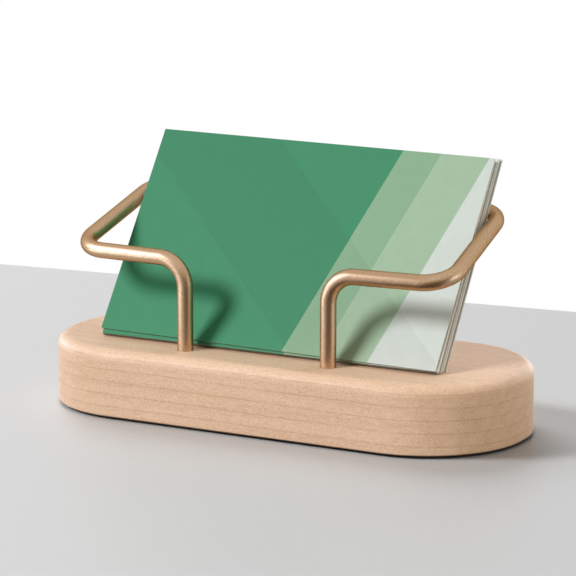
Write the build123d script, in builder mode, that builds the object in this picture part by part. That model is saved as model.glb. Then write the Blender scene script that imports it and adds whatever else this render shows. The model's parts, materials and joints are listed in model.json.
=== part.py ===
from build123d import *
from math import acos, cos, radians, sin, sqrt, tan
import os

# Business card holder stand: a solid wood base, one bent brass rail planted in its top,
# four soft pads let into its underside, and the stack of cards that leans on the rail.
# Millimetres. X runs along the base, the front faces -Y, Z is up.
# The origin is under the middle of the base, on the surface that the pads stand on.

# Wood base: BASE_END_FLAT is the straight stretch left between the two corners of each end
BASE_LENGTH = 121.2
BASE_DEPTH = 51.6
BASE_THICKNESS = 16.4
BASE_END_FLAT = 2.6
BASE_TOP_ROUND = 2.9
BASE_BOTTOM_CHAMFER = 0.2

# Soft pads: inset is from the ends and from the front and back of the base to a pad's centre
PAD_DIAMETER = 8.0
PAD_THICKNESS = 1.2
PAD_RECESS_DEPTH = 0.6
PAD_CLEARANCE = 0.1
PAD_CHAMFER = 0.2
PAD_INSET_ENDS = 24.0
PAD_INSET_SIDES = 10.0

# Brass rail: one round rod, every bend to the same centre line radius. POST_INSET is from the
# base's front to the post's axis, ARM_HEIGHT from the base's top to the arm's axis at its post.
ROD_DIAMETER = 3.8
BEND_RADIUS = 6.8
POST_SPACING = 38.2
POST_INSET = 8.8
ARM_HEIGHT = 21.7
ARM_RISE = 0.4
SIDE_RISE_ANGLE = 18.2
SIDE_TOE_ANGLE = 3.2
SIDE_CLEARANCE = 0.25
WOOD_UNDER_FOOT = 5.1
FOOT_END_GAP = 0.3
FOOT_CHAMFER = 0.4
GLUE_GAP = 0.05

# Cards: the front ones are squared up together, the rest each stand on the wood.
# CARD_STANDOFF is from the posts back to the front card's lower edge.
CARD_WIDTH = 90.0
CARD_HEIGHT = 54.0
CARD_THICKNESS = 0.4
CARD_AIR = 0.07
CARD_COUNT = 10
CARD_TILT = 33.5
SQUARED_COUNT = 4
CARD_STANDOFF = 1.6
CARD_FOOT_GAP = 0.05
CARD_BACK_GAP = 0.1
CARD_SHUFFLE = 0.25
SHUFFLE_START = 270.0
SHUFFLE_STEP = 140.0
FRONT_CARD_ROLL = 0.7

# Base and posts
pad_proud = PAD_THICKNESS - PAD_RECESS_DEPTH
base_top = pad_proud + BASE_THICKNESS
base_corner_radius = (BASE_DEPTH - BASE_END_FLAT) / 2
hole_depth = BASE_THICKNESS - WOOD_UNDER_FOOT
rod_radius = ROD_DIAMETER / 2
post_x = POST_SPACING / 2
post_y = POST_INSET - BASE_DEPTH / 2

# Cards in side view: card_up runs up their faces, card_front points out of them
tilt = radians(CARD_TILT)
card_up = Vector(0, sin(tilt), cos(tilt))
card_front = Vector(0, -cos(tilt), sin(tilt))
card_pitch = CARD_THICKNESS + CARD_AIR
foot_height = base_top + CARD_FOOT_GAP
squared_depth = (SQUARED_COUNT - 1) * card_pitch + CARD_THICKNESS
front_edge = Vector(
    0,
    post_y + rod_radius + CARD_STANDOFF,
    foot_height + squared_depth * sin(tilt),
)


def card_edge(index):
    """Middle of the lower front edge of one card, counted from the front card."""
    edge = front_edge - card_front * (index * card_pitch)
    sunk = foot_height - (edge.Z - CARD_THICKNESS * sin(tilt))
    return edge + card_up * max(0, sunk / cos(tilt))


def card_shift(index):
    """Small sideways step of one card, so that the stack's ends aren't a perfect plane."""
    return CARD_SHUFFLE * sin(radians(SHUFFLE_START + index * SHUFFLE_STEP))


# The rail's back run stays behind the last card. The bends at its ends curve forward round
# the card's edges, so the run stands off by as much as the bends reach within the card's width.
side_rise = tan(radians(SIDE_RISE_ANGLE))
side_toe = tan(radians(SIDE_TOE_ANGLE))
stack_half_width = CARD_WIDTH / 2 + CARD_SHUFFLE
back_half_span = stack_half_width + SIDE_CLEARANCE + rod_radius
back_turn = acos(side_toe / sqrt(1 + side_toe**2 + side_rise**2))
bend_start = back_half_span - BEND_RADIUS * tan(back_turn / 2)


def bend_reach(steps=200):
    """How far a back bend reaches towards the cards, from the back run's centre line."""
    towards_cards = cos(tilt + radians(SIDE_RISE_ANGLE))
    reach = rod_radius
    for step in range(steps + 1):
        turn = back_turn * step / steps
        outside = bend_start + BEND_RADIUS * sin(turn) - stack_half_width
        if outside < rod_radius:
            forward = BEND_RADIUS * (1 - cos(turn)) * towards_cards
            reach = max(reach, forward + sqrt(rod_radius**2 - max(0, outside) ** 2))
    return reach


stack_depth = (CARD_COUNT - 1) * card_pitch + CARD_THICKNESS
back_offset = stack_depth + CARD_BACK_GAP + bend_reach()

# Corners of the rail's right half, before the bends are rounded
arm_z = base_top + ARM_HEIGHT
arm_end_z = arm_z + ARM_RISE
side_depth = (
    back_offset
    - (post_y - front_edge.Y) * cos(tilt)
    + (arm_end_z - front_edge.Z) * sin(tilt)
) / (cos(tilt) - side_rise * sin(tilt))
arm_end_x = back_half_span + side_toe * side_depth
rail_corners = [
    (post_x, post_y, base_top - hole_depth + FOOT_END_GAP),
    (post_x, post_y, arm_z),
    (arm_end_x, post_y, arm_end_z),
    (back_half_span, post_y + side_depth, arm_end_z + side_rise * side_depth),
]
mirrored_corners = [(-x, y, z) for x, y, z in reversed(rail_corners)]

os.makedirs("parts", exist_ok=True)

# Wood base: extruded from its plan, top edge rounded over, bottom edge chamfered
pad_x = BASE_LENGTH / 2 - PAD_INSET_ENDS
pad_y = BASE_DEPTH / 2 - PAD_INSET_SIDES
pad_places = {
    "front_left": (-pad_x, -pad_y),
    "front_right": (pad_x, -pad_y),
    "rear_left": (-pad_x, pad_y),
    "rear_right": (pad_x, pad_y),
}
with BuildPart() as wood_base:
    with BuildSketch(Plane.XY.offset(pad_proud)):
        RectangleRounded(BASE_LENGTH, BASE_DEPTH, base_corner_radius)
    extrude(amount=BASE_THICKNESS)
    fillet(wood_base.faces().sort_by(Axis.Z)[-1].edges(), BASE_TOP_ROUND)
    chamfer(wood_base.faces().sort_by(Axis.Z)[0].edges(), BASE_BOTTOM_CHAMFER)
    # Blind holes for the rail's feet
    with Locations((-post_x, post_y, base_top), (post_x, post_y, base_top)):
        Hole(rod_radius + GLUE_GAP, hole_depth)
    # Recesses for the pads, cut upwards from the underside
    with BuildSketch(Plane.XY.offset(pad_proud)):
        with Locations(*pad_places.values()):
            Circle(PAD_DIAMETER / 2 + PAD_CLEARANCE)
    extrude(amount=PAD_RECESS_DEPTH, mode=Mode.SUBTRACT)
wood_base.part.label = "wood_base"
export_step(wood_base.part, "parts/wood_base.step")

# Brass rail: one rod swept round its bends, with its two feet chamfered to enter the holes
with BuildPart() as brass_rail:
    with BuildLine():
        rail_path = FilletPolyline(*rail_corners, *mirrored_corners, radius=BEND_RADIUS)
    with BuildSketch(Plane(rail_path @ 0, z_dir=rail_path % 0)):
        Circle(rod_radius)
    sweep()
    foot_faces = brass_rail.faces().filter_by(Axis.Z).sort_by(Axis.Z)[:2]
    chamfer(foot_faces.edges(), FOOT_CHAMFER)
brass_rail.part.label = "brass_rail"
export_step(brass_rail.part, "parts/brass_rail.step")

# Pads: discs seated in their recesses, lower edge chamfered
for place, (x, y) in pad_places.items():
    with BuildPart() as pad:
        with BuildSketch(Plane.XY):
            with Locations((x, y)):
                Circle(PAD_DIAMETER / 2)
        extrude(amount=PAD_THICKNESS)
        chamfer(pad.faces().sort_by(Axis.Z)[0].edges(), PAD_CHAMFER)
    pad.part.label = f"pad_{place}"
    export_step(pad.part, f"parts/pad_{place}.step")

# Cards: each is drawn from its lower right corner, about which the front one is turned a little
for index in range(CARD_COUNT):
    corner = card_edge(index) + Vector(CARD_WIDTH / 2 + card_shift(index), 0, 0)
    roll = -FRONT_CARD_ROLL if index == 0 else 0
    card_plane = Plane(corner, x_dir=(1, 0, 0), z_dir=card_front)
    with BuildPart() as card:
        with BuildSketch(card_plane):
            Rectangle(CARD_WIDTH, CARD_HEIGHT, rotation=roll, align=(Align.MAX, Align.MIN))
        extrude(amount=-CARD_THICKNESS)
    card.part.label = f"card_{index + 1:02d}"
    export_step(card.part, f"parts/card_{index + 1:02d}.step")

print("rod to cut, mm:", round(rail_path.length, 1))
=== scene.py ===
import json
from math import cos, pi, radians, sin, tan

import bpy
from mathutils import Matrix, Vector


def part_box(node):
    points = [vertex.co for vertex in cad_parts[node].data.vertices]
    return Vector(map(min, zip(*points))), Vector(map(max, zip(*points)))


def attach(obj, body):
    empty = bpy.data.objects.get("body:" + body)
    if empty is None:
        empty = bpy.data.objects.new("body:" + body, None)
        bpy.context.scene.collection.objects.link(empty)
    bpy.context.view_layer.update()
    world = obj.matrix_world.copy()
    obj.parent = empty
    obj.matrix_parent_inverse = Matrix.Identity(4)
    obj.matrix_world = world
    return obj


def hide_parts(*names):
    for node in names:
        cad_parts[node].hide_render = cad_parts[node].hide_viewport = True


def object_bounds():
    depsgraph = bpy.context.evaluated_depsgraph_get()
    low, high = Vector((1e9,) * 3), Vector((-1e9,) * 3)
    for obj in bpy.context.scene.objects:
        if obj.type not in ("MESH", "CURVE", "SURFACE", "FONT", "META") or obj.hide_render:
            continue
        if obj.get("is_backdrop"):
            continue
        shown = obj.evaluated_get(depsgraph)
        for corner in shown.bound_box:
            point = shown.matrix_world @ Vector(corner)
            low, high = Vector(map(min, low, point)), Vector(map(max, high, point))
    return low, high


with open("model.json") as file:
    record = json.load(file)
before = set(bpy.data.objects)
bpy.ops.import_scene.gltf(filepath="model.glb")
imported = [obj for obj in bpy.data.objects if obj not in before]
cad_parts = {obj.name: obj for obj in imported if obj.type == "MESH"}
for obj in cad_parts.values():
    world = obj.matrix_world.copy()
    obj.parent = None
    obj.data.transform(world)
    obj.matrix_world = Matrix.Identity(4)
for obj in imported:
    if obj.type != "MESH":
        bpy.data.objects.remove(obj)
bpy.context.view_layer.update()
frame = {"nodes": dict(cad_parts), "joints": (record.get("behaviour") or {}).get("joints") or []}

# Wood base: one solid block of pale hard maple, sawn so that the growth layers lie almost level.
# The top edge is rounded over with a router bit, and all of it is sanded fine and rubbed with a clear
# matt oil. The layers show as faint lines round the sides. Painted shade darkens the lowest edge and
# the whole underside, standing for the shadow line where the base meets the table.
MAPLE_PALE = (234, 201, 171)
MAPLE_DEEP = (195, 156, 125)
MAPLE_LATE = (168, 124, 88)
MAPLE_PORE = (156, 112, 78)
# Painted shade: the colour that the foot of the block and its underside are darkened towards
MAPLE_FOOT_SHADE = (84, 58, 40)
MAPLE_ROUGHNESS = 0.48
LAYER_SPACING = 0.0030
LAYER_LEAN = 0.003
LAYER_ARCH_RADIUS = 1.5
LAYER_WANDER = 0.0008
LAYER_RIPPLE = 0.0005
LATE_WOOD_START = (0.82, 0.94)
LATE_WOOD_END = (0.96, 1.0)
LATE_LEAST = 0.12
LATE_MORE = 0.24
PORE_SHARE = 0.25
# Heights between which the painted shade at the foot fades out, and how far it goes
FOOT_SHADE_HEIGHTS = (0.0007, 0.0011)
FOOT_SHADE_SHARE = 0.8
GRAIN_DEPTH = 0.0001
# Marks per metre, along the wood and across it
WANDERS = (13.3, 38.0)
RIPPLES = (44.0, 220.0)
LATE_PATCHES = (175.0, 350.0)
FIBRES = (312.0, 2600.0)
SPECKLES = (1890.0, 4200.0)
STREAKS = (16.8, 420.0)
BROAD_PATCHES = (13.5, 45.0)
BROAD_FLATTENING = 1.4
PORES = (210.0, 2100.0)
# Values of the noise between which a mark sets in
NOISE_RANGE = (0.3, 0.7)
STREAK_RANGE = (0.35, 0.65)
BROAD_RANGE = (0.25, 0.75)
PORE_RANGE = (0.68, 0.78)


class Flow:
    """One output socket of a node tree. Arithmetic on it adds Math nodes."""

    def __init__(self, socket):
        self.socket = socket

    def node(self, kind, settings=None, sockets=None, output=0):
        """Adds any node: its settings first, then the values or links of its sockets."""
        tree = self.socket.id_data
        made = tree.nodes.new(kind)
        for name, value in (settings or {}).items():
            setattr(made, name, value)
        for name, value in (sockets or {}).items():
            if isinstance(value, Flow):
                tree.links.new(value.socket, made.inputs[name])
            else:
                made.inputs[name].default_value = value
        return Flow(made.outputs[output])

    def output(self, name):
        """Another output of the same node."""
        return Flow(self.socket.node.outputs[name])

    def into(self, socket):
        """Links this value to an input."""
        self.socket.id_data.links.new(self.socket, socket)

    def math(self, operation, first, second=0.0):
        """A Math node on one or two values."""
        return self.node("ShaderNodeMath", {"operation": operation}, {0: first, 1: second})

    def __add__(self, other):
        return self.math("ADD", self, other)

    def __sub__(self, other):
        return self.math("SUBTRACT", self, other)

    def __rsub__(self, other):
        return self.math("SUBTRACT", other, self)

    def __mul__(self, other):
        return self.math("MULTIPLY", self, other)

    def __truediv__(self, other):
        return self.math("DIVIDE", self, other)

    def __rtruediv__(self, other):
        return self.math("DIVIDE", other, self)

    __radd__ = __add__
    __rmul__ = __mul__

    def ramp(self, low, high, kind="SMOOTHSTEP"):
        """0 below low, 1 above high."""
        sockets = {"Value": self, "From Min": low, "From Max": high}
        return self.node("ShaderNodeMapRange", {"interpolation_type": kind}, sockets)

    def split(self):
        """The X, Y and Z of a vector."""
        x = self.node("ShaderNodeSeparateXYZ", {}, {0: self})
        return x, x.output("Y"), x.output("Z")

    def stretched(self, x, y, z):
        """A vector multiplied along each axis."""
        return self.node("ShaderNodeVectorMath", {"operation": "MULTIPLY"}, {0: self, 1: (x, y, z)})

    def noise(self, per_metre, detail=2.0, roughness=0.5):
        """Noise about 0.5 with so many marks per metre."""
        sockets = {"Vector": self, "Scale": per_metre, "Detail": detail, "Roughness": roughness}
        return self.node("ShaderNodeTexNoise", {}, sockets)

    def grain(self, along, across, detail=2.0, roughness=0.5):
        """Noise about 0.5 with so many marks per metre along X and across it."""
        return self.stretched(along / across, 1.0, 1.0).noise(across, detail, roughness)

    def between(self, start, end):
        """The colour at this value's share of the way from one colour to another."""
        return self.node("ShaderNodeMix", {"data_type": "RGBA"}, {0: self, 6: start, 7: end}, 2)

    def emboss(self, shader, strength, depth):
        """Raises a shader's surface where this value is high."""
        sockets = {"Strength": strength, "Distance": depth, "Height": self}
        self.node("ShaderNodeBump", {}, sockets).into(shader["Normal"])


def tint(colour):
    """An sRGB colour out of 255 as the linear values that a shader takes."""
    shares = [level / 255 for level in colour]
    linear = [s / 12.92 if s < 0.04045 else ((s + 0.055) / 1.055) ** 2.4 for s in shares]
    return (*linear, 1.0)


def new_finish(name):
    """A new material, the sockets of its shader, and the Object coordinates of what wears it."""
    material = bpy.data.materials.new(name)
    material.use_nodes = True
    nodes = material.node_tree.nodes
    place = Flow(nodes.new("ShaderNodeTexCoord").outputs["Object"])
    return material, nodes["Principled BSDF"].inputs, place


def dress(node, material):
    """Gives a CAD node's mesh this material alone."""
    mesh = frame["nodes"][node].data
    mesh.materials.clear()
    mesh.materials.append(material)


oiled_maple, shader, place = new_finish("oiled_maple")
along, across, height = place.split()
wander = place.grain(*WANDERS) - 0.5
ripple = place.grain(*RIPPLES) - 0.5
arch = across * across / (2 * LAYER_ARCH_RADIUS)
level = height + along * LAYER_LEAN - arch + wander * LAYER_WANDER + ripple * LAYER_RIPPLE
season = level.math("FRACT", level / LAYER_SPACING)
late = season.ramp(*LATE_WOOD_START) * (1 - season.ramp(*LATE_WOOD_END))
strength = place.grain(*LATE_PATCHES).ramp(*NOISE_RANGE)
fibre = place.grain(*FIBRES, 3.0, 0.65).ramp(*NOISE_RANGE, "LINEAR")
speckle = place.grain(*SPECKLES, 1.0, 0.7).ramp(*NOISE_RANGE, "LINEAR")
streak = place.grain(*STREAKS).ramp(*STREAK_RANGE)
flattened = place.stretched(1.0, 1.0, BROAD_FLATTENING)
broad = flattened.grain(*BROAD_PATCHES, 3.0).ramp(*BROAD_RANGE, "LINEAR")
pore = place.grain(*PORES, 1.0).ramp(*PORE_RANGE)
# Painted shade: the foot of the block and its underside darken, as the shadow under the base would
foot_shade = 1 - height.ramp(*FOOT_SHADE_HEIGHTS)
tone = broad * 0.1 + fibre * 0.2 + speckle * 0.5 + streak * 0.15 + season * 0.05
colour = tone.between(tint(MAPLE_PALE), tint(MAPLE_DEEP))
colour = (late * (LATE_LEAST + strength * LATE_MORE)).between(colour, tint(MAPLE_LATE))
colour = (pore * PORE_SHARE).between(colour, tint(MAPLE_PORE))
colour = (foot_shade * FOOT_SHADE_SHARE).between(colour, tint(MAPLE_FOOT_SHADE))
colour.into(shader["Base Color"])
(MAPLE_ROUGHNESS + fibre * 0.1 - late * 0.05).into(shader["Roughness"])
(fibre * 0.4 + speckle * 0.5 - late * 0.4 - pore * 0.6).emboss(shader, 0.3, GRAIN_DEPTH)
dress("wood_base", oiled_maple)

# Pads: four soft discs of black rubber that keep the base from sliding and lift it off the table.
# Each is stuck into a shallow recess under the base and stands proud of it by half its thickness.
PAD_RUBBER = (38, 37, 36)
PAD_WORN = (66, 64, 62)
PAD_ROUGHNESS = 0.7
PEBBLES_PER_METRE = 5200.0
PEBBLE_DEPTH = 0.0001
SCUFFS_PER_METRE = 700.0
SCUFF_RANGE = (0.45, 0.75)

pad_rubber, shader, place = new_finish("pad_rubber")
pebble = place.noise(PEBBLES_PER_METRE)
scuff = place.noise(SCUFFS_PER_METRE, 3.0).ramp(*SCUFF_RANGE)
colour = (scuff * 0.6 + pebble * 0.2).between(tint(PAD_RUBBER), tint(PAD_WORN))
colour.into(shader["Base Color"])
(PAD_ROUGHNESS + pebble * 0.2).into(shader["Roughness"])
pebble.emboss(shader, 0.5, PEBBLE_DEPTH)
for corner in ("front_left", "front_right", "rear_left", "rear_right"):
    dress(f"pad_{corner}", pad_rubber)

# Rail: one round rod of brass, bent cold to the same radius at each of its six corners and brushed
# along its length to a satin face. Both feet are glued into blind holes in the wood.
ROD_DIAMETER = 0.0038
ROD_BEND_RADIUS = 0.0068
ROD_BEND_STEPS = 20
ROD_SIDES = 48
POST_SPACING = 0.0382
ARM_HEIGHT = 0.0217
BACK_HALF_SPAN = 0.0474
SIDE_RISE_ANGLE = 18.2
SIDE_TOE_ANGLE = 3.2
BRASS_BRIGHT = (229, 195, 160)
BRASS_DULL = (192, 157, 120)
BRASS_RIM = (172, 133, 94)
BRASS_ROUGHNESS = 0.35
BRUSH_DEPTH = 0.00002
# Marks per metre, along the rod and across it
BRUSH_LINES = (1300.0, 5200.0)
FROST_SPOTS = (2720.0, 3400.0)


def new_tree(name, inputs):
    """A Geometry Nodes tree with these named inputs, what it is given, and its output socket."""
    tree = bpy.data.node_groups.new(name, "GeometryNodeTree")
    tree.interface.new_socket("Geometry", in_out="INPUT", socket_type="NodeSocketGeometry")
    for label, kind in inputs.items():
        tree.interface.new_socket(label, in_out="INPUT", socket_type=kind)
    tree.interface.new_socket("Geometry", in_out="OUTPUT", socket_type="NodeSocketGeometry")
    given = Flow(tree.nodes.new("NodeGroupInput").outputs[0])
    return tree, given, tree.nodes.new("NodeGroupOutput").inputs[0]


def store(geometry, name, kind, value):
    """The geometry with a value kept on its points under a name."""
    return geometry.node("GeometryNodeStoreNamedAttribute", {"data_type": kind, "domain": "POINT"}, {
        "Geometry": geometry,
        "Name": name,
        "Value": value,
    })


def recall(place, name, output):
    """The value that the mesh keeps under a name, for a material."""
    return place.node("ShaderNodeAttribute", {"attribute_name": name}, {}, output)


def grow(name, tree, sizes, start=None):
    """The mesh that a tree makes with these sizes, as a plain object."""
    grown = bpy.data.objects.new(name, start or bpy.data.meshes.new(name))
    bpy.context.scene.collection.objects.link(grown)
    modifier = grown.modifiers.new(tree.name, "NODES")
    modifier.node_group = tree
    sockets = {s.name: s.identifier for s in tree.interface.items_tree if s.in_out == "INPUT"}
    for label, value in sizes.items():
        modifier[sockets[label]] = value
    graph = bpy.context.evaluated_depsgraph_get()
    mesh = bpy.data.meshes.new_from_object(grown.evaluated_get(graph))
    grown.modifiers.remove(modifier)
    grown.data = mesh
    return grown


rod_tree, given, result = new_tree("bent_rod", {
    "Rod Diameter": "NodeSocketFloat",
    "Bend Radius": "NodeSocketFloat",
    "Bend Steps": "NodeSocketInt",
    "Rod Sides": "NodeSocketInt",
    "Finish": "NodeSocketMaterial",
})
route = given.node("GeometryNodeMeshToCurve", {}, {"Mesh": given})
route = given.node("GeometryNodeFilletCurve", {"mode": "POLY"}, {
    "Curve": route,
    "Count": given.output("Bend Steps"),
    "Radius": given.output("Bend Radius"),
})
length = given.node("GeometryNodeSplineParameter", {}, {}, "Length")
route = store(route, "rod_length", "FLOAT", length)
section = given.node("GeometryNodeCurvePrimitiveCircle", {"mode": "RADIUS"}, {
    "Resolution": given.output("Rod Sides"),
    "Radius": given.output("Rod Diameter") * 0.5,
})
section = store(section, "rod_section", "FLOAT_VECTOR", given.node("GeometryNodeInputPosition"))
rod = given.node("GeometryNodeCurveToMesh", {}, {
    "Curve": route,
    "Profile Curve": section,
    "Fill Caps": True,
})
rod = given.node("GeometryNodeSetShadeSmooth", {}, {"Geometry": rod})
rod = given.node("GeometryNodeRealizeInstances", {}, {"Geometry": rod})
rod = given.node("GeometryNodeSetMaterial", {}, {"Geometry": rod, "Material": given.output("Finish")})
rod.into(result)

satin_brass, shader, place = new_finish("satin_brass")
lengthwise = place.node("ShaderNodeCombineXYZ", {}, {"X": recall(place, "rod_length", "Fac")})
straight = place.node("ShaderNodeVectorMath", {"operation": "ADD"}, {
    0: lengthwise,
    1: recall(place, "rod_section", "Vector"),
})
brushing = straight.grain(*BRUSH_LINES, 2.0, 0.6).ramp(*NOISE_RANGE, "LINEAR")
frost = straight.grain(*FROST_SPOTS, 2.0, 0.7).ramp(*NOISE_RANGE, "LINEAR")
colour = (brushing * 0.3 + frost * 0.7).between(tint(BRASS_BRIGHT), tint(BRASS_DULL))
colour.into(shader["Base Color"])
shader["Metallic"].default_value = 1.0
shader["Specular Tint"].default_value = tint(BRASS_RIM)
(BRASS_ROUGHNESS + frost * 0.06).into(shader["Roughness"])
(brushing * 0.5 + frost * 0.5).emboss(shader, 0.1, BRUSH_DEPTH)

rail_low, rail_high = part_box("brass_rail")
wood_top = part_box("wood_base")[1].z
rod_radius = ROD_DIAMETER / 2
post_y = rail_low.y + rod_radius
back_y = rail_high.y - rod_radius
back_z = rail_high.z - rod_radius
side_depth = back_y - post_y
arm_end_x = BACK_HALF_SPAN + tan(radians(SIDE_TOE_ANGLE)) * side_depth
arm_end_z = back_z - tan(radians(SIDE_RISE_ANGLE)) * side_depth
right_corners = [
    (POST_SPACING / 2, post_y, rail_low.z),
    (POST_SPACING / 2, post_y, wood_top + ARM_HEIGHT),
    (arm_end_x, post_y, arm_end_z),
    (BACK_HALF_SPAN, back_y, back_z),
]
corners = right_corners + [(-x, y, z) for x, y, z in reversed(right_corners)]
rail_line = bpy.data.meshes.new("rail_line")
rail_line.from_pydata(corners, [(i, i + 1) for i in range(len(corners) - 1)], [])
rail = grow("bent_rail", rod_tree, {
    "Rod Diameter": ROD_DIAMETER,
    "Bend Radius": ROD_BEND_RADIUS,
    "Bend Steps": ROD_BEND_STEPS,
    "Rod Sides": ROD_SIDES,
    "Finish": satin_brass,
}, rail_line)
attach(rail, "holder")
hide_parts("brass_rail")

# Cards: ten loose cards of stiff white board, guillotined to size, printed on the front in slanted
# bands of green and left bare on the back. They lean on the rail and stand on the wood.
CARD_WIDTH = 0.090
CARD_HEIGHT = 0.054
CARD_THICKNESS = 0.0004
CARD_CORNER_RADIUS = 0.0002
CARD_CORNER_STEPS = 3
CARD_COUNT = 10
CARD_TONE = 0.5
CARD_TONE_SPREAD = 0.15
CARD_TONE_STEP = 2.4
WELD_DISTANCE = 0.000001
# Bands lean one way, and a darker sash crosses them the other way
BAND_LEAN = 0.3
BAND_EDGES = (0.0500, 0.0600, 0.0725)
BAND_SOFTNESS = 0.00004
SASH_LEAN = 1.1
SASH_EDGES = (0.0520, 0.0920)
SASH_SOFTNESS = 0.0001
SASH_SHADE = 0.07
# Inks from the left band to the right one, and the paper that shows through them
INKS = ((54, 138, 98), (138, 177, 141), (163, 191, 161), (211, 220, 212))
INK_ROUGHNESS = 0.5
INK_GLOSS = 0.25
INK_UNEVENNESS = 0.03
TOOTH_PER_METRE = 9000.0
TOOTH_DEPTH = 0.00003
MOTTLES_PER_METRE = 260.0
# Bare board of the backs and the cut edges, with painted shade along the edge where a card stands
BOARD_WHITE = (240, 238, 233)
BOARD_GREY = (198, 195, 188)
BOARD_EDGE_SHADE = (96, 90, 80)
BOARD_ROUGHNESS = 0.75
PLIES_PER_METRE = 9000.0
PLY_STRETCH = 0.01
FUZZ_PER_METRE = 6000.0
FUZZ_DEPTH = 0.00004
STANDING_SHADE_HEIGHTS = (0.00002, 0.0001)
STANDING_SHADE_SHARE = 0.8

board_tree, given, result = new_tree("cut_board", {
    "Width": "NodeSocketFloat",
    "Height": "NodeSocketFloat",
    "Thickness": "NodeSocketFloat",
    "Corner Radius": "NodeSocketFloat",
    "Tone": "NodeSocketFloat",
    "Print": "NodeSocketMaterial",
    "Board": "NodeSocketMaterial",
})
outline = given.node("GeometryNodeCurvePrimitiveQuadrilateral", {"mode": "RECTANGLE"}, {
    "Width": given.output("Width"),
    "Height": given.output("Height"),
})
outline = given.node("GeometryNodeFilletCurve", {"mode": "POLY"}, {
    "Curve": outline,
    "Count": CARD_CORNER_STEPS,
    "Radius": given.output("Corner Radius"),
})
back = given.node("GeometryNodeFillCurve", {"mode": "NGONS"}, {"Curve": outline})
back_place = given.node("ShaderNodeCombineXYZ", {}, {
    "X": given.output("Width") * 0.5,
    "Y": given.output("Height") * 0.5,
    "Z": given.output("Thickness") * -1.0,
})
back = given.node("GeometryNodeTransform", {}, {"Geometry": back, "Translation": back_place})
thick = given.node("GeometryNodeExtrudeMesh", {"mode": "FACES"}, {
    "Mesh": back,
    "Offset Scale": given.output("Thickness"),
    "Individual": False,
})
printed_face = thick.output("Top")
closed = given.node("GeometryNodeJoinGeometry", {}, {"Geometry": thick})
given.node("GeometryNodeFlipFaces", {}, {"Mesh": back}).into(closed.socket.node.inputs[0])
board = given.node("GeometryNodeMergeByDistance", {}, {"Geometry": closed, "Distance": WELD_DISTANCE})
board = store(board, "card_place", "FLOAT_VECTOR", given.node("GeometryNodeInputPosition"))
board = store(board, "card_tone", "FLOAT", given.output("Tone"))
board = given.node("GeometryNodeRealizeInstances", {}, {"Geometry": board})
board = given.node("GeometryNodeSetMaterial", {}, {
    "Geometry": board,
    "Material": given.output("Board"),
})
board = given.node("GeometryNodeSetMaterial", {}, {
    "Geometry": board,
    "Selection": printed_face,
    "Material": given.output("Print"),
})
board.into(result)

printed_green, shader, place = new_finish("printed_green")
spot = recall(place, "card_place", "Vector")
along, up, _ = spot.split()
slant = along - up * BAND_LEAN
colour = tint(INKS[0])
for edge, ink in zip(BAND_EDGES, INKS[1:]):
    colour = slant.ramp(edge - BAND_SOFTNESS, edge + BAND_SOFTNESS).between(colour, tint(ink))
counter = along + up * SASH_LEAN
sash_start, sash_end = (counter.ramp(e - SASH_SOFTNESS, e + SASH_SOFTNESS) for e in SASH_EDGES)
sash = sash_start * (1 - sash_end)
tooth = spot.noise(TOOTH_PER_METRE)
mottle = spot.noise(MOTTLES_PER_METRE, 3.0).ramp(*NOISE_RANGE)
shade = 1 - sash * SASH_SHADE - tooth * INK_UNEVENNESS - mottle * INK_UNEVENNESS
colour = place.node("ShaderNodeVectorMath", {"operation": "SCALE"}, {0: colour, "Scale": shade})
colour.into(shader["Base Color"])
(INK_ROUGHNESS + tooth * 0.12).into(shader["Roughness"])
shader["Specular IOR Level"].default_value = INK_GLOSS
tooth.emboss(shader, 0.15, TOOTH_DEPTH)

white_board, shader, place = new_finish("white_board")
spot = recall(place, "card_place", "Vector")
_, up, _ = spot.split()
plies = spot.stretched(PLY_STRETCH, PLY_STRETCH, 1.0).noise(PLIES_PER_METRE, 2.0, 0.6)
fuzz = spot.noise(FUZZ_PER_METRE)
greyness = plies * 0.2 + fuzz * 0.2 + recall(place, "card_tone", "Fac") * 0.6
colour = greyness.between(tint(BOARD_WHITE), tint(BOARD_GREY))
# Painted shade: the board darkens along its lowest tenth of a millimetre, as the shadow in the gap
# under the cards would
standing_shade = 1 - up.ramp(*STANDING_SHADE_HEIGHTS)
(standing_shade * STANDING_SHADE_SHARE).between(colour, tint(BOARD_EDGE_SHADE)).into(shader["Base Color"])
(BOARD_ROUGHNESS + fuzz * 0.15).into(shader["Roughness"])
fuzz.emboss(shader, 0.3, FUZZ_DEPTH)

lift = Vector(frame["joints"][0]["axis"]).normalized()
facing = Vector((1, 0, 0)).cross(lift)
for index in range(CARD_COUNT):
    node = f"card_{index + 1:02d}"
    points = [v.co for v in frame["nodes"][node].data.vertices]
    front = max(p.dot(facing) for p in points)
    face = [p for p in points if p.dot(facing) > front - CARD_THICKNESS / 2]
    left_foot = min(face, key=lambda p: p.dot(lift) + p.x)
    right_foot = min(face, key=lambda p: p.dot(lift) - p.x)
    sideways = (right_foot - left_foot).normalized()
    upwards = facing.cross(sideways)
    stand = Matrix((sideways, upwards, facing)).transposed().to_4x4()
    stand.translation = left_foot
    card = grow(f"printed_{node}", board_tree, {
        "Width": CARD_WIDTH,
        "Height": CARD_HEIGHT,
        "Thickness": CARD_THICKNESS,
        "Corner Radius": CARD_CORNER_RADIUS,
        "Tone": CARD_TONE + CARD_TONE_SPREAD * sin(index * CARD_TONE_STEP),
        "Print": printed_green,
        "Board": white_board,
    })
    card.data.transform(stand)
    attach(card, node)
    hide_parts(node)

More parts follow.
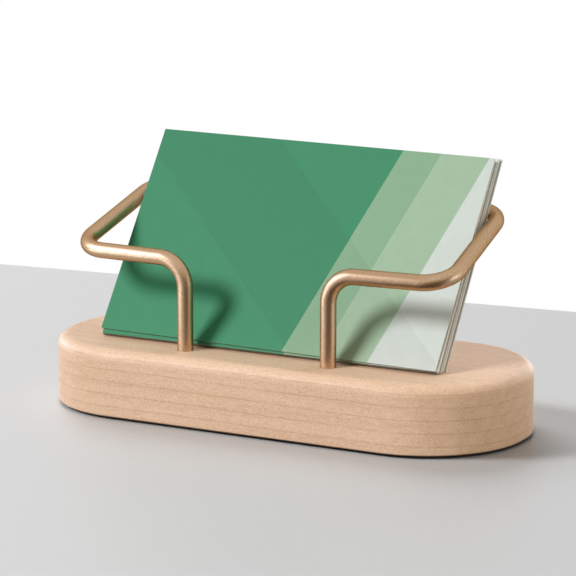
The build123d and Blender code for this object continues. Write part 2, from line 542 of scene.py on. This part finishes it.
# Table: a plain top in pale grey satin paint, with its back edge a short way behind the holder.
# The metal mirrors it as dark in one sector, from the front round to the right, and little of the
# light that falls on it goes back up to the holder.
TABLE_GREY = (196, 197, 199)
TABLE_STIPPLE = (192, 193, 195)
TABLE_DARK = (58, 40, 18)
TABLE_ROUGHNESS = 0.42
TABLE_BACK_LEFT = (-0.1366, 0.1300)
TABLE_BACK_RIGHT = (0.0030, 0.1433)
TABLE_REACH = 3.0
STIPPLES_PER_METRE = 420.0
MIRRORED_DARKENING = 0.97
BOUNCE_DARKENING = 0.6
# Degrees from the front towards the right, between which the dark sector sets in and ends
SECTOR_START = (-6.0, 6.0)
SECTOR_END = (66.0, 80.0)


def dark_sector(sideways, backwards):
    """1 in the directions from the holder that lie in the dark sector, 0 elsewhere."""
    bearing = sideways.math("ARCTAN2", sideways, backwards * -1.0) * (180 / pi)
    return bearing.ramp(*SECTOR_START) * (1 - bearing.ramp(*SECTOR_END))


table_paint, shader, place = new_finish("table_paint")
along, across, _ = place.split()
stipple = place.noise(STIPPLES_PER_METRE, 3.0)
glossy = place.node("ShaderNodeLightPath", {}, {}, "Is Glossy Ray")
mirrored_dark = dark_sector(along, across) * glossy * MIRRORED_DARKENING
bounce_dark = glossy.output("Is Diffuse Ray") * BOUNCE_DARKENING
colour = stipple.between(tint(TABLE_GREY), tint(TABLE_STIPPLE))
colour = mirrored_dark.between(colour, tint(TABLE_DARK))
colour = bounce_dark.between(colour, tint(TABLE_DARK))
colour.into(shader["Base Color"])
shader["Roughness"].default_value = TABLE_ROUGHNESS
left_x, left_y = TABLE_BACK_LEFT
right_x, right_y = TABLE_BACK_RIGHT
back_slope = (right_y - left_y) / (right_x - left_x)
table_mesh = bpy.data.meshes.new("table")
table_mesh.from_pydata([
    (-TABLE_REACH, -TABLE_REACH, 0),
    (TABLE_REACH, -TABLE_REACH, 0),
    (TABLE_REACH, left_y + back_slope * (TABLE_REACH - left_x), 0),
    (-TABLE_REACH, left_y - back_slope * (TABLE_REACH + left_x), 0),
], [], [(0, 1, 2, 3)])
table_mesh.materials.append(table_paint)
table = bpy.data.objects.new("table", table_mesh)
bpy.context.scene.collection.objects.link(table)
table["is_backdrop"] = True

# Light: a lamp high at the front left draws the shadows on the holder, and softboxes above, behind
# and at both sides fill it in. The table has three lamps of its own and the wood two. The rail mirrors
# three small strips close by and the room, which is white where the camera sees it.
WHITE = (1.0, 1.0, 1.0)
KEY_WHITE = (0.98, 1.0, 1.04)
WARM_WHITE = (1.0, 0.86, 0.66)
COOL_WHITE = (0.90, 1.0, 1.15)
STRIP_WHITE = (0.88, 0.98, 1.3)
# Azimuth and elevation in degrees, distance, width, level and colour of each lamp
HOLDER_LAMPS = {
    "key_lamp": (-36.0, 34.0, 3.0, 1.0, 0.83, KEY_WHITE),
    "back_softbox": (150.0, 52.0, 0.7, 0.5, 0.38, COOL_WHITE),
    "right_softbox": (98.0, 24.0, 3.0, 2.4, 0.31, WARM_WHITE),
    "left_softbox": (-105.0, 12.0, 3.0, 1.0, 0.40, COOL_WHITE),
    "rear_softbox": (180.0, 4.0, 2.0, 1.2, 0.32, WHITE),
}
TABLE_LAMPS = {
    "table_key": (-60.0, 33.0, 2.4, 0.7, 0.88, WHITE),
    "table_back": (-130.0, 38.0, 2.4, 1.6, 0.68, WHITE),
    "table_front": (8.0, 35.0, 0.43, 0.2, 0.08, WHITE),
}
WOOD_SHEEN = (-65.0, 48.0, 1.5, 2.2, 0.30, WHITE)
WOOD_FRONT = (22.0, 6.0, 0.5, 0.25, 0.29, WHITE)
# Place, width, height and glow of each strip, and the point between the posts that they face
RAIL_STRIPS = {
    "left_strip": ((-0.122, -0.105, 0.107), 0.13, 0.09, 4.4),
    "post_strip": ((-0.130, -0.118, 0.022), 0.10, 0.035, 3.6),
    "right_strip": ((0.250, 0.005, 0.022), 0.10, 0.08, 2.1),
}
STRIP_AIM = (0.0, -0.017, 0.035)
# The room: its fill, its walls as the metal mirrors them, and the directions where each sets in
FILL_LEVEL = 0.20
FILL_SIDES = 0.10
FILL_WHITE = (1.0, 0.95, 0.84, 1.0)
MIRRORED_WARM = (1.0, 0.84, 0.56, 1.0)
MIRRORED_FRONT = 0.82
MIRRORED_RIGHT = 0.5
MIRRORED_LEFT = 0.54
MIRRORED_BACK = 0.8
MIRRORED_LOW = 0.15
RIGHT_WALL = (0.5, 0.9)
LEFT_WALL = (-0.5, -0.1)
BACK_WALL = (-0.35, 0.25)
LOW_WALL = (0.15, 0.4)
WARMTH_FADE = (0.4, 0.8)


def towards(azimuth, elevation):
    """The direction from the holder at these angles, azimuth from the front towards the right."""
    a, e = radians(azimuth), radians(elevation)
    return Vector((sin(a) * cos(e), -cos(a) * cos(e), sin(e)))


def gather(name, members):
    """A collection of these objects, to link a light to."""
    group = bpy.data.collections.new(name)
    for member in members:
        group.objects.link(member)
    return group


def link_light(light, receivers, state, blockers=()):
    """Lets a light reach only some objects, or all but these, and be shaded only by some."""
    reach = gather(f"{light.name}_reach", receivers)
    light.light_linking.receiver_collection = reach
    for member in reach.collection_objects:
        member.light_linking.link_state = state
    if blockers:
        light.light_linking.blocker_collection = gather(f"{light.name}_shade", blockers)


def add_light(name, place, aim, width, height, energy, colour):
    """An area light at a place, facing a point."""
    data = bpy.data.lights.new(name, "AREA")
    data.shape = "ELLIPSE" if width == height else "RECTANGLE"
    data.size = width
    data.size_y = height
    data.energy = energy
    data.color = colour
    light = bpy.data.objects.new(name, data)
    bpy.context.scene.collection.objects.link(light)
    light.location = place
    light.rotation_euler = (Vector(place) - Vector(aim)).to_track_quat("Z", "Y").to_euler()
    light.visible_camera = False
    return light


def add_lamp(name, azimuth, elevation, distance, width, level, colour):
    """A round lamp that lights a facing surface by level times its own colour."""
    place = towards(azimuth, elevation) * distance
    energy = level * pi**2 * distance**2
    return add_light(name, place, (0, 0, 0), width, width, energy, colour)


def blend(share, start, end):
    """The number at this share of the way from one number to another."""
    return start + share * (end - start)


wood = frame["nodes"]["wood_base"]
pads = [frame["nodes"][n] for n in frame["nodes"] if n.startswith("pad_")]
for name, lamp_values in HOLDER_LAMPS.items():
    link_light(add_lamp(name, *lamp_values), [rail, table], "EXCLUDE")
for name, lamp_values in TABLE_LAMPS.items():
    lamp = add_lamp(name, *lamp_values)
    lamp.visible_glossy = False
    link_light(lamp, [table], "INCLUDE", [wood, *pads])
sheen = add_lamp("wood_sheen", *WOOD_SHEEN)
sheen.visible_diffuse = False
link_light(sheen, [wood], "INCLUDE")
link_light(add_lamp("wood_front", *WOOD_FRONT), [wood], "INCLUDE")
for name, (place, width, height, glow) in RAIL_STRIPS.items():
    energy = glow * pi * width * height
    strip = add_light(name, place, STRIP_AIM, width, height, energy, STRIP_WHITE)
    link_light(strip, [rail], "INCLUDE")

room = bpy.data.worlds.new("white_room")
room.use_nodes = True
nodes = room.node_tree.nodes
background = nodes["Background"].inputs
seen = Flow(nodes.new("ShaderNodeLightPath").outputs["Is Camera Ray"])
shiny = seen.math("MAXIMUM", seen.output("Is Glossy Ray"), seen.output("Is Transmission Ray"))
sideways, backwards, upwards = seen.node("ShaderNodeTexCoord", {}, {}, "Generated").split()
fill = FILL_LEVEL + sideways * sideways * FILL_SIDES
mirrored = blend(sideways.ramp(*RIGHT_WALL), MIRRORED_FRONT, MIRRORED_RIGHT)
mirrored = blend(1 - sideways.ramp(*LEFT_WALL), mirrored, MIRRORED_LEFT)
mirrored = blend(backwards.ramp(*BACK_WALL), mirrored, MIRRORED_BACK)
low = dark_sector(sideways, backwards) * (1 - upwards.ramp(*LOW_WALL))
mirrored = blend(low, mirrored, MIRRORED_LOW)
level = blend(seen, blend(shiny, fill, mirrored), 1)
level.into(background["Strength"])
colour = shiny.between(FILL_WHITE, MIRRORED_WARM)
colour = level.ramp(*WARMTH_FADE, "LINEAR").between(colour, (*WHITE, 1.0))
colour.into(background["Color"])
bpy.context.scene.world = room

# Camera: a long lens a little above the holder and to its right, with no roll. The focal length is
# in pixels of a square picture.
VIEW_AZIMUTH = 28.573
VIEW_ELEVATION = 11.236
VIEW_DISTANCE = 0.654373
VIEW_TARGET = Vector((-0.000503, -0.0003, 0.030816))
FOCAL_PIXELS = 2747.842
IMAGE_PIXELS = 576
SENSOR_WIDTH = 36.0
CLIP_START = 0.01

camera_data = bpy.data.cameras.new("camera")
camera_data.sensor_width = SENSOR_WIDTH
camera_data.lens = SENSOR_WIDTH * FOCAL_PIXELS / IMAGE_PIXELS
camera_data.clip_start = CLIP_START
camera = bpy.data.objects.new("camera", camera_data)
bpy.context.scene.collection.objects.link(camera)
view_way = towards(VIEW_AZIMUTH, VIEW_ELEVATION)
camera.location = VIEW_TARGET + view_way * VIEW_DISTANCE
camera.rotation_euler = view_way.to_track_quat("Z", "Y").to_euler()
bpy.context.scene.camera = camera
bpy.context.scene.view_settings.view_transform = "Standard"

low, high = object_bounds()
